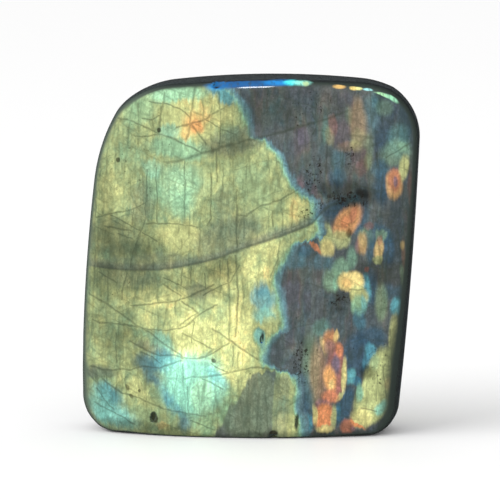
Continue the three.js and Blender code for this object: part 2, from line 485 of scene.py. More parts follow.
def follow(tree, value, points):
    """A smooth line through given points, read at the value."""
    points = sorted(points)
    low, high = points[0][0], points[-1][0]
    least = min(level for _, level in points)
    most = max(level for _, level in points)
    share = add(tree, "MapRange", value, low, high, 0.0, 1.0).outputs[0]
    node = add(tree, "FloatCurve", 1.0, share)
    curve = node.mapping.curves[0]
    while len(curve.points) < len(points):
        curve.points.new(0.5, 0.5)
    for point, (at, level) in zip(curve.points, points):
        point.location = ((at - low) / (high - low), (level - least) / (most - least))
        point.handle_type = "AUTO_CLAMPED"
    node.mapping.update()
    return add(tree, "MapRange", node.outputs[0], 0.0, 1.0, least, most).outputs[0]


def ramp(tree, value, stops):
    """A colour ramp through stops, each a position and a colour as seen."""
    node = add(tree, "ValToRGB", value)
    elements = node.color_ramp.elements
    while len(elements) < len(stops):
        elements.new(0.5)
    for element, (position, *colour) in zip(elements, stops):
        element.position = position
        element.color = seen(*colour)
    return node.outputs[0]


# The border of the big flash, as (z, x), and the patches in it where the plates are thinner or thicker
FLASH_BORDER = [
    (89, -8.5), (86.5, -5), (82.5, -2), (79.5, -1), (76, 0), (74.3, 3.5), (72, 5.5), (69, 7.3),
    (64.5, 9.8), (61.5, 12), (58, 15), (54.5, 16.2), (52, 16.9), (50.2, 13), (48, 10), (44.7, 8.6),
    (42.5, 7), (40.3, 6.1), (37, 7), (32.8, 7.4), (28.5, 7.9), (26.7, 6.2), (25, 4.7), (23, 3.5),
    (20.2, 3.3), (18.2, 4.7), (16.7, 8), (15.7, 10), (11.6, 11.3), (7.8, 11.3), (5, 12.4), (1, 13),
]
FLASH_LEVEL = 0.565
FLASH_PATCHES = [
    ("green at upper left", -29, 80, 3.5, 5.5, 0, 3, -0.04),
    ("halo of the star", -14, 79.5, 8.5, 6, 0, 5.5, 0.06),
    ("yellow right of the star", -8, 81.5, 3.5, 5, 0, 3, 0.02),
    ("green left of it", -29, 72, 4, 7.5, 0, 3.5, -0.03),
    ("yellow at the left", -33.5, 62, 3.5, 6, 0, 3, 0.03),
    ("yellow over the vein", -17.5, 51, 4.5, 5, 0, 3, 0.05),
    ("yellow beside it", -13.5, 50, 3, 3, 0, 2.5, 0.03),
    ("pale triangle", -21.5, 35.5, 7.5, 2.7, -5, 1.7, 0.06),
    ("pale band", -19.5, 30, 11, 4, -4, 2.7, 0.04),
    ("pale yellow", -6, 24, 11.5, 11.5, 0, 10, 0.05),
    ("pale yellow right", -0.5, 29, 4, 11.5, 0, 3, 0.03),
    ("tan", -10.5, 40, 9, 4.5, 15, 3.5, 0.05),
    ("bright streaks", 3, 45, 4, 8, -20, 2.5, 0.04),
    ("cream spot", 5.5, 42, 1.7, 2.5, -15, 1.5, 0.06),
    ("orange spot", 12.5, 57.5, 2.5, 2.7, 0, 2.2, 0.1),
    ("yellow left of it", 9, 57.5, 3.5, 4, 0, 2.5, 0.04),
    ("cyan spot low", -8.5, 19.5, 2.5, 2.7, 0, 2, -0.08),
    ("blue streaks low", -7, 14, 4.5, 2.2, -35, 2, -0.09),
    ("mint bottom", -10, 8, 6.5, 7, 0, 5, -0.05),
    ("yellow under the bulge", 5, 28, 2.5, 2, 0, 1.2, 0.03),
    ("cyan by the inclusion", 3, 25.5, 1.5, 2.7, 0, 1, -0.17),
    ("pale foot by the fissure", 9.5, 3.5, 3, 2.7, 0, 1.7, 0.05),
]
# Single flashes in the big one, laid over each other: as the patches, with a level and a strength
NEAR_FLASHES = [
    ("mint along the top", -17.5, 86, 9.5, 2.2, 3, 1.7, 0.44, 0.85),
    ("green at the upper left", -27, 82, 4.5, 3.5, 30, 2.5, 0.47, 0.55),
    ("yellow left of the star", -18.5, 80.5, 4, 3, 0, 2.2, 0.61, 0.6),
    ("yellow right of the star", -6, 81.5, 3.5, 3, 10, 2, 0.63, 0.65),
    ("star", -13, 78.5, 3, 2.7, 0, 2.2, 0.75, 0.9),
    ("right arm of the star", -10.4, 79.8, 3, 1.2, 15, 1.2, 0.72, 0.8),
    ("low arm of the star", -15.2, 76, 1.2, 2.5, 0, 1, 0.72, 0.95),
    ("core of the star", -12.5, 78, 2, 1.7, -30, 1.2, 0.8, 0.75),
    ("green under the star", -17, 72.5, 9, 2.5, -8, 1.7, 0.45, 0.8),
    ("teal by the dark spot", -19.5, 76.5, 3, 1.5, 0, 1.2, 0.4, 0.6),
    ("grey-green right of the star", -5.5, 76, 4, 2.2, 0, 1.7, 0.5, 0.4),
    ("cyan by the chip", -8, 87.5, 1.7, 2.2, 0, 1.7, 0.27, 0.9),
    ("cyan under the chip", -5, 85.5, 2.7, 2.2, -45, 1.5, 0.31, 0.9),
    ("mint middle", -16.5, 63.5, 5.5, 5.5, 0, 5, 0.43, 0.65),
    ("bright core of the mint", -16.5, 58.5, 3, 4, 0, 2.5, 0.45, 0.6),
    ("mint left", -23.5, 63.5, 2.2, 5, 0, 1.7, 0.45, 0.6),
    ("teal crack side", -23.5, 67.5, 2.5, 2.5, 0, 1.7, 0.4, 0.5),
    ("yellow over the vein", -17, 51, 4, 4.5, 0, 2.2, 0.62, 0.7),
    ("green right of the veil", 2.5, 62.5, 3.5, 7.5, 25, 2.5, 0.5, 0.5),
    ("cyan by the cracks", -21.5, 23.5, 4, 2.2, -38, 2.5, 0.38, 0.7),
    ("cyan middle", -20, 18.5, 5, 3, -25, 2.5, 0.32, 0.95),
    ("bright yellow middle", -14, 26, 5, 5, -25, 2.7, 0.64, 0.7),
    ("mint field", -14, 13, 8, 8, 0, 4.5, 0.39, 1),
    ("pale green in it", -11, 10.5, 3, 5.5, 0, 2.2, 0.49, 0.55),
    ("blue start", -25.5, 18.5, 3.5, 2, -30, 2.5, 0.24, 0.7),
    ("blue middle", -23.6, 14.6, 3.5, 1.2, -48, 2.2, 0.23, 0.75),
    ("blue low", -20, 10, 3, 1.2, -52, 2.2, 0.27, 0.75),
    ("blue link", -17.6, 6.6, 2, 1.2, -50, 1.7, 0.28, 0.6),
    ("blue at the bottom", -16, 3.5, 1.5, 2.5, -10, 2, 0.21, 0.7),
    ("green left field", -36, 14.5, 3.5, 2.2, -20, 1.7, 0.5, 0.6),
    ("cyan corner", -35, 10, 4.5, 2.5, -45, 2.5, 0.31, 0.9),
    ("teal corner", -34, 5, 8, 3, -24, 3, 0.35, 0.85),
    ("teal at the rim", -37, 7.5, 3, 5.5, 15, 2.5, 0.36, 0.6),
    ("yellow by the rusty spots", -28.5, 12.5, 2.2, 2.5, 0, 1.2, 0.63, 0.85),
    ("yellow streak low", -25, 8.5, 3, 1.7, -42, 1.5, 0.6, 0.7),
    ("green low", -26.5, 5.5, 3.5, 2, -30, 1.7, 0.52, 0.55),
    ("pink by the pit", -21.8, 2.8, 1.7, 1, 0, 0.7, 0.72, 0.5),
    ("teal bulge", 3.5, 38, 1.7, 2.5, 0, 2.2, 0.22, 0.55),
    ("teal of the bulge", 4, 35.5, 3, 3, 0, 2.2, 0.29, 0.7),
    ("mint under the bulge", 4, 31.5, 3, 2, 0, 1.5, 0.36, 0.75),
    ("yellow under the bulge", 5.5, 29.5, 1.7, 1.5, 0, 1, 0.58, 0.7),
    ("cyan by the inclusion", 3.2, 25.8, 1.2, 2.5, 0, 1, 0.33, 0.8),
    ("blue low streaks", -7.5, 15, 4, 1.5, -35, 1.5, 0.32, 0.5),
]
# Flashes in the grey half
FLASHES = [
    ("blue upper right", 36, 77, 6, 8.5, -20, 5.5, 0.16, 0.36),
    ("blue at the top corner", 35.5, 83, 5, 2.5, -30, 2.2, 0.14, 0.25),
    ("teal upper right", 30.5, 81.5, 2, 6, 0, 1.7, 0.3, 0.18),
    ("pale blue in it", 31.4, 83.4, 1, 2.2, 0, 1, 0.27, 0.2),
    ("green upper right", 33.5, 82.5, 2, 2, 0, 1.7, 0.48, 0.26),
    ("tan streaks", 27, 79, 2.2, 7, 0, 1.5, 0.76, 0.23),
    ("green left of them", 24.8, 80.6, 1, 3, 0, 1, 0.5, 0.17),
    ("olive under them", 27.5, 74.5, 2.2, 3, 0, 1.5, 0.6, 0.22),
    ("red streak", 20.8, 78.4, 1, 3, 8, 0.7, 0.9, 0.28),
    ("tan left streak", 20.2, 75.4, 1, 2.7, 8, 0.7, 0.68, 0.23),
    ("green edge", 19.2, 76.8, 0.7, 3.5, 0, 0.7, 0.42, 0.19),
    ("mauve slab", 23, 76, 2.2, 4, 4, 1.5, 0.97, 0.28),
    ("brown under the slab", 24.2, 72.8, 3, 1.2, 0, 1, 0.78, 0.15),
    ("yellow spot", 26.6, 73.2, 1.5, 1.2, 0, 1, 0.66, 0.28),
    ("mauve block", 27.5, 70.5, 2, 3, 0, 1.2, 0.97, 0.34),
    ("red foot of it", 28, 67.5, 1.7, 2, 0, 1.2, 0.93, 0.23),
    ("green right of it", 30, 72.2, 1, 6, 0, 1, 0.52, 0.25),
    ("olive right", 29.8, 69.2, 1.2, 2.2, 0, 1, 0.6, 0.22),
    ("teal stripe", 22, 69, 1.7, 4.5, 0, 1.5, 0.29, 0.2),
    ("blue foot of it", 22.5, 65.5, 2.2, 2.2, 0, 1.7, 0.2, 0.47),
    ("purple spot", 13.5, 75.5, 1.5, 2.5, 0, 1.2, 1, 0.4),
    ("purple low", 13, 63.4, 1, 3, 0, 1, 0.97, 0.45),
    ("purple streak", 16.4, 61.8, 0.7, 2, 0, 0.7, 0.98, 0.35),
    ("pale streaks", 37, 74.5, 2.5, 4.5, -8, 2, 0.35, 0.27),
    ("blue left of them", 33.5, 74.5, 2, 3.5, 0, 1.7, 0.16, 0.31),
    ("green right edge", 36.5, 71.5, 4, 3, 15, 2, 0.47, 0.33),
    ("bright green in it", 38, 72.8, 1.2, 1.2, 0, 1, 0.46, 0.33),
    ("teal under the crack", 32.5, 67.5, 2, 2.5, 0, 1.7, 0.25, 0.27),
    ("blue by the right edge", 33, 63, 1.7, 5.5, 0, 1.5, 0.18, 0.51),
    ("yellow right edge", 38.2, 67.6, 1.2, 3.5, -8, 1, 0.63, 0.85),
    ("orange border", 36, 63.5, 2, 4, 5, 1, 0.77, 0.64),
    ("red right edge", 36, 64.5, 1.5, 3.5, 5, 1, 0.9, 0.68),
    ("mauve in it", 36.2, 64.2, 0.6, 1.7, 5, 0.5, 1, 0.7),
    ("rusty rim", 40.2, 62.2, 0.7, 6, 2, 0.7, 0.92, 0.35),
    ("rusty rim low", 39, 42.8, 0.7, 9.5, 3, 0.7, 0.84, 0.3),
    ("blue behind the orange island", 20.5, 57.5, 6, 2, 28, 1.7, 0.15, 0.58),
    ("blue right of the orange island", 28, 55.5, 1.7, 5.5, -10, 1.5, 0.17, 0.51),
    ("teal over the orange island", 26, 59.5, 1.5, 2.2, -15, 1.5, 0.25, 0.39),
    ("blue under the vein", 17, 54, 1.5, 2.5, 0, 1.2, 0.21, 0.58),
    ("orange island", 24.5, 54.5, 2.7, 5.5, -33, 1.5, 0.8, 0.78),
    ("red in it", 26, 56.4, 0.9, 2.5, -12, 0.7, 0.9, 0.6),
    ("pink core", 24, 54.6, 1, 2, -25, 0.7, 0.85, 0.7),
    ("cream foot of it", 23, 50, 2.2, 2.2, 0, 1.5, 0.61, 0.75),
    ("yellow streak", 19.5, 51, 1.7, 3, 0, 1.2, 0.6, 0.9),
    ("cream streak", 19.5, 48, 1.7, 2.2, 0, 1.2, 0.68, 0.9),
    ("pink thread", 16.8, 48.4, 0.6, 2.5, 35, 0.5, 0.85, 0.85),
    ("blue fringe", 14, 47.5, 2.7, 1.5, 0, 1.5, 0.21, 0.55),
    ("teal under it", 12.5, 45, 2.2, 2, 0, 1.7, 0.26, 0.4),
    ("teal middle", 18.5, 44.5, 3.5, 2, 0, 1.7, 0.26, 0.31),
    ("green over the cream", 23, 43, 2.2, 2.5, 0, 1.5, 0.44, 0.52),
    ("green streak up", 25.8, 45.6, 1.2, 3, 0, 1.2, 0.42, 0.45),
    ("green left of the cream", 21, 40, 2.2, 3, 0, 1.5, 0.46, 0.48),
    ("pale in it", 21.6, 39.2, 0.7, 2, 0, 0.5, 0.42, 0.5),
    ("blue right of the cream", 30.6, 38, 1.2, 5.5, 0, 1.2, 0.18, 0.58),
    ("cyan right of the cream", 29.4, 38, 1, 4.5, 3, 0.7, 0.3, 0.9),
    ("cream patch", 25.5, 39.5, 3.5, 2.7, 0, 1.2, 0.7, 1),
    ("orange left in it", 24.4, 39.4, 1.2, 1.5, 0, 1, 0.76, 0.6),
    ("yellow low", 27.5, 36, 2.2, 2.7, 15, 1.2, 0.64, 0.97),
    ("green tail", 27.5, 33.5, 1.7, 2.7, 5, 1.2, 0.45, 0.85),
    ("cyan tail", 28.8, 34, 0.7, 2.7, 5, 0.7, 0.33, 0.7),
    ("blue tail", 28, 30, 1.5, 3, 10, 1.2, 0.25, 0.55),
    ("green round the brown streak", 29, 50.5, 1.7, 2.5, 0, 1.2, 0.48, 0.4),
    ("brown streak", 28.4, 49.2, 1.2, 3, 0, 1, 0.76, 0.6),
    ("mauve left of it", 27.2, 48.6, 0.7, 2, 0, 0.7, 0.95, 0.4),
    ("blue arch", 32.5, 50.5, 3.5, 3, 0, 1.5, 0.2, 0.43),
    ("green arch", 33, 51, 1.5, 1.5, 0, 1, 0.48, 0.45),
    ("blue left of the tan streak", 30.4, 47.2, 1, 4, 0, 1, 0.19, 0.47),
    ("blue right of the tan streak", 35, 47, 1.5, 4.5, 0, 1.2, 0.17, 0.51),
    ("tan streak", 32.4, 47.6, 1.2, 3, 0, 0.7, 0.73, 0.75),
    ("pale foot of the tan streak", 32.4, 45, 1.2, 1.2, 0, 0.7, 0.6, 0.75),
    ("mauve top of it", 32.6, 50, 0.7, 1.5, 0, 0.5, 0.92, 0.5),
    ("dark red spot", 29.8, 53.2, 1.2, 1, 0, 0.7, 0.95, 0.45),
    ("red dot", 29.6, 42.6, 0.6, 0.7, 0, 0.5, 0.93, 0.7),
    ("blue right of the pale streak", 34.5, 37, 1.5, 2.5, 0, 1.5, 0.21, 0.39),
    ("pale streak low right", 33, 34.5, 1.5, 5.5, 3, 1.2, 0.5, 0.5),
    ("blue over the cyan spot", 37, 36, 1.5, 2.5, 0, 1.2, 0.2, 0.39),
    ("pale streak by the edge", 38.2, 40.2, 0.7, 3.5, 3, 0.6, 0.5, 0.45),
    ("tan spot by the edge", 38.6, 48.6, 0.6, 1.5, 0, 0.5, 0.72, 0.5),
    ("cyan spot", 37, 33, 1.5, 2.5, -5, 1, 0.3, 1),
    ("teal hint", 18.5, 28, 2, 2.5, 0, 1.5, 0.38, 0.3),
    ("grey-green beside the tall island", 16, 18, 2.2, 11, 0, 2, 0.48, 0.35),
    ("grey-brown beside it", 17.5, 16.5, 2, 9.5, 0, 1.7, 0.82, 0.3),
    ("dark teal low", 14, 11, 2.2, 7, 0, 1.7, 0.17, 0.58),
    ("teal foot", 15, 4, 1.5, 2.7, 0, 1, 0.27, 0.85),
    ("blue above the field", 31, 25.5, 3.5, 2.7, -25, 2, 0.17, 0.58),
    ("blue right of the tall island", 27, 21, 3.5, 6.5, -5, 2, 0.16, 0.66),
    ("dark blue band", 24, 8, 2, 6, -15, 1.2, 0.18, 0.7),
    ("teal in it", 22.6, 6.8, 0.7, 2.7, 0, 0.7, 0.25, 0.47),
    ("light blue chip", 25.5, 15.5, 1.5, 2, -20, 1, 0.31, 0.9),
    ("blue chip right", 27.4, 14.4, 1.2, 1.2, 0, 0.7, 0.23, 0.75),
    ("top of the tall island", 20.5, 24.5, 1.7, 3.5, 0, 1.2, 0.82, 0.75),
    ("pale top right", 22, 25.8, 0.7, 2, -10, 0.5, 0.72, 0.8),
    ("tan left border", 19, 23.4, 0.7, 3.5, 15, 0.7, 0.72, 0.5),
    ("mauve upper", 20.5, 22.5, 1.5, 3, 5, 1, 0.97, 0.65),
    ("body of the tall island", 22, 16.5, 2.5, 7, 0, 1.2, 0.93, 0.9),
    ("orange right", 22.8, 22.2, 1, 2.2, 0, 0.7, 0.86, 0.85),
    ("slate core", 21.8, 18.4, 1.2, 3, 0, 1, 1, 0.85),
    ("orange left lobe", 20.5, 15, 1.5, 4, 8, 1.2, 0.79, 0.95),
    ("bright in it", 20.8, 13.6, 0.7, 1.7, 0, 0.7, 0.72, 0.8),
    ("pale right border", 24, 16, 0.6, 5.5, -3, 0.5, 0.67, 0.9),
    ("pale border low", 22.8, 10.6, 0.6, 2, -40, 0.5, 0.62, 0.85),
    ("red neck", 20.5, 10.5, 2.2, 1.7, -10, 1.2, 0.87, 0.9),
    ("mauve neck", 18.5, 8.5, 2, 1.5, 0, 1.2, 0.96, 0.8),
    ("orange foot of the tall island", 19, 5.5, 2.5, 3.5, 0, 1.2, 0.84, 1),
    ("left border of the foot", 16.8, 6.2, 0.6, 3.5, 5, 0.5, 0.67, 0.85),
    ("right border of the foot", 21.6, 5.4, 0.7, 3.5, 0, 0.6, 0.6, 0.85),
    ("yellow bottom", 19.4, 2.4, 2.5, 1, 0, 0.7, 0.68, 0.9),
    ("right strip", 36.5, 25, 1.5, 7, -2, 1, 0.63, 0.95),
    ("teal left border", 30.5, 22, 1.5, 2.2, 0, 1, 0.28, 0.8),
    ("teal border low", 29.6, 19.2, 1, 2.7, 0, 0.7, 0.26, 0.58),
    ("right field", 33.5, 14, 4.5, 9.5, -12, 1.5, 0.6, 1),
    ("right field low", 30.5, 9, 4, 6, -8, 1.5, 0.6, 1),
    ("mint border", 27.8, 11.6, 0.9, 3, -5, 0.7, 0.4, 0.8),
    ("pale foot", 28.5, 5, 2.5, 2.7, 0, 1.5, 0.66, 1),
    ("mint at the foot", 33.2, 7.4, 1.2, 2.2, -35, 1, 0.38, 0.85),
    ("green streak in the field", 31.6, 19, 1, 2.5, 0, 1, 0.5, 0.6),
    ("tan in the field", 35, 13.4, 1, 2, 0, 1, 0.72, 0.45),
    ("orange foot", 25, 3, 1.7, 2, -35, 1.2, 0.88, 0.75),
    ("orange line", 27.2, 3.2, 2.5, 0.4, -38, 0.3, 0.84, 0.95),
    ("slate in it", 26.2, 2.2, 0.7, 0.7, 0, 0.5, 0.98, 0.6),
    ("olive in the dull foot", 0, 9, 7.5, 10, 0, 2, 0.52, 0.3),
]
# Grey veils that the flash hardly shows through
VEILS = [
    ("round the upper vein", -2.5, 74.5, 10.5, 3, 14, 2.2, 0.5),
    ("over the main vein", -4.5, 51, 10, 5, 22, 3.5, 0.42),
    ("grey at the left edge", -37.5, 16, 5.5, 1.7, 0, 1.5, 0.5),
    ("left of the cleft", -26.5, 58.5, 3, 6.5, -5, 2.2, 0.3),
    ("purple over the tan", -12.5, 37, 3.5, 2, 0, 1.7, 0.45),
    ("grey above the vein", -34, 49.5, 8.5, 5.5, 0, 3.5, 0.2),
    ("along the vein", -24, 44, 20, 2.2, 5, 1.7, 0.35),
    ("under the vein", -29.5, 40, 10, 2.2, 0, 2, 0.3),
    ("grey band low", -24.4, 22.2, 5.5, 1.2, -20, 1, 0.45),
    ("purple-grey at the left", -39, 15.5, 2.5, 1.5, 0, 1.2, 0.6),
    ("middle grey streaks", -5.5, 56.5, 2.5, 8.5, 0, 2.2, 0.25),
]
# Where the flash is brighter or darker than elsewhere
LIGHTS = [
    ("upper left", -30, 74.5, 9, 11, 20, 6.5, -0.05),
    ("upper right of the flash", -5.5, 78.5, 7.5, 9, 0, 4, -0.07),
    ("around the upper vein", -5.5, 71, 9, 3.5, 14, 2.5, -0.1),
    ("left side", -38, 55.5, 4.5, 22.5, 6, 4, -0.2),
    ("band above the vein", -29.5, 50, 9.5, 5, 0, 4, -0.18),
    ("along the vein", -25.5, 46, 11.5, 3, 0, 3, -0.13),
    ("under the vein", -30.5, 39, 12.5, 4.5, 0, 3, -0.2),
    ("right part under the vein", -6, 43, 5.5, 2.5, 15, 2, -0.18),
    ("lower left", -35.5, 29, 7, 7.5, 0, 5, -0.13),
    ("left of the cyan", -30, 22.5, 5.5, 5, 0, 3, -0.12),
    ("blue band", -25.5, 17, 6, 2.5, -45, 1.7, -0.12),
    ("left low", -37.5, 12.5, 5, 8.5, 0, 4, -0.14),
    ("bright middle", -8.5, 24, 10, 11.5, 0, 6.5, 0.2),
    ("bright cyan", -14, 15, 8.5, 8.5, 0, 5, 0.22),
    ("pale triangle", -21.5, 35.5, 7.5, 2.7, -5, 1.7, 0.06),
    ("pale band", -19.5, 30, 11, 4, -4, 2.7, 0.07),
    ("bright core of the mint", -16.5, 60, 4, 6.5, 0, 3, 0.1),
    ("bright streaks", 4, 45.5, 4, 8.5, -20, 2.2, 0.14),
    ("by the border", 4.5, 67, 4, 7.5, 30, 3, 0.04),
    ("tan", -10.5, 40, 9, 4, 15, 3, -0.08),
    ("mint top", -17.5, 86, 9, 2.5, 0, 1.7, 0.08),
    ("slate at the top", 5, 82.5, 7.5, 5.5, 0, 3.5, -0.16),
    ("slate left", 13, 67.5, 5.5, 7.5, 0, 3.5, 0.04),
    ("dark middle", 25, 61.5, 10.5, 3, -8, 2.2, -0.24),
    ("dark spot", 28.4, 61.6, 1.7, 1, -10, 1, -0.2),
    ("dark under the middle", 24, 59, 7.5, 1.5, 25, 1.2, -0.15),
    ("dark right", 32.5, 42, 5, 3.5, 0, 2.5, -0.2),
    ("dark triangle", 22.5, 35, 2.7, 2.2, 0, 2, -0.16),
    ("base of the dark triangle", 22.4, 32.4, 3.5, 0.7, 0, 1.2, -0.24),
    ("dark by the chip", 30, 16.5, 2, 1.7, -40, 1.2, -0.35),
    ("dark right side", 37.5, 53.5, 2.5, 12.5, 3, 2, -0.14),
    ("bright cyan spot", 37.4, 33, 1, 2, 0, 0.7, 0.2),
    ("bright cream", 26.5, 39.5, 2.2, 2.5, 0, 1.2, 0.14),
    ("tall island", 21.5, 15, 3, 7.5, 0, 1.7, 0.1),
    ("bright foot", 19, 5, 2, 3, 0, 1.2, 0.14),
    ("foot of the flash", 9.5, 3.5, 3.5, 3, 0, 2, 0.12),
    ("right field", 32.5, 11.5, 4, 8.5, -12, 2, 0.12),
    ("pale foot", 28.5, 5.5, 2.5, 3, 0, 1.5, 0.08),
    ("dull foot", -0.5, 9, 5, 8.5, 0, 2, 0.03),
    # These three rows are painted shade: the face darkens along the base and at the bottom right corner,
    # where it turns down to the ground
    ("dark bottom right corner", 36.5, 3, 4.5, 5, 0, 2.5, -0.3),
    ("low rim left", -24.5, 1.5, 17.5, 2, -6, 1.7, -0.3),
    ("low rim", 8.2, 0.6, 27.5, 1.2, 1, 1, -0.25),
]
# Dark mineral grains and rusty spots
GRAINS = [
    ("pit by the bottom", -23.4, 4.8, 0.9, 1.5, 12, 0.5, 1),
    ("rusty spots", -30.2, 12.2, 0.5, 1, 10, 0.4, 0.7),
    ("more of them", -29.2, 10, 0.7, 0.5, -30, 0.4, 0.7),
    ("spot beside them", -27.2, 11.6, 0.3, 0.6, 0, 0.2, 0.8),
    ("low spot", -8.4, 19.8, 0.7, 0.6, 0, 0.5, 0.9),
    ("spot at the upper left", -32.4, 69.4, 0.5, 0.7, 0, 0.3, 0.9),
    ("spot by the cleft", -22, 76.8, 0.5, 0.5, 0, 0.3, 0.9),
    ("inclusion", 3.8, 26, 0.4, 1.4, 3, 0.4, 1),
    ("spot on the bottom edge", 6.4, 1.4, 1.1, 0.8, 0, 0.5, 1),
    ("fissure", 12.4, 4.4, 0.4, 3, -6, 0.4, 0.9),
    ("chip at the top", -6.6, 88.2, 1.7, 1.1, -20, 0.7, 1),
    ("black spot in the middle", 27.6, 61.8, 1.2, 0.7, 0, 1, 0.6),
    ("black spot under the island", 25, 51.6, 0.7, 1.2, 0, 0.5, 0.8),
]
SPECK_FIELDS = [
    ("speckled triangle", 22.5, 34.5, 3.5, 2.2, 0, 2, 0.9),
    ("specks along the border", 16.5, 66, 2.2, 6.5, -12, 1.5, 0.9),
    ("specks in the middle", 24, 60.5, 7, 2, -5, 1.7, 1),
    ("specks left of it", 15.5, 57, 4, 2, 20, 1.5, 0.8),
    ("specks by the tall island", 13.5, 19.5, 2.2, 6.5, 0, 1.2, 0.9),
    ("specks in the slabs", 25, 70.5, 1.5, 3, 0, 1, 0.9),
    ("specks at the upper left", -26.5, 69.5, 10, 10, 0, 5, 0.25),
    ("specks low right", 32.5, 18.5, 3, 7.5, 0, 2, 0.5),
    ("specks at the top", 17.5, 82.5, 6.5, 4.5, 0, 2.5, 0.5),
]
# Two long veins across the face, as (x, z)
UPPER_VEIN = [
    (-25, 68.5), (-17.5, 69.4), (-10.5, 71.5), (-4.3, 73.5), (7.5, 76.5), (16.3, 79), (22.4, 81),
    (28.3, 83.2),
]
MAIN_VEIN = [
    (-40, 42.6), (-30.5, 42), (-22.5, 42.3), (-15, 43.5), (-8, 45.3), (-1, 48), (6.4, 50.4),
    (11.3, 52.2), (15.5, 54), (19.6, 58), (25.5, 60.4),
]
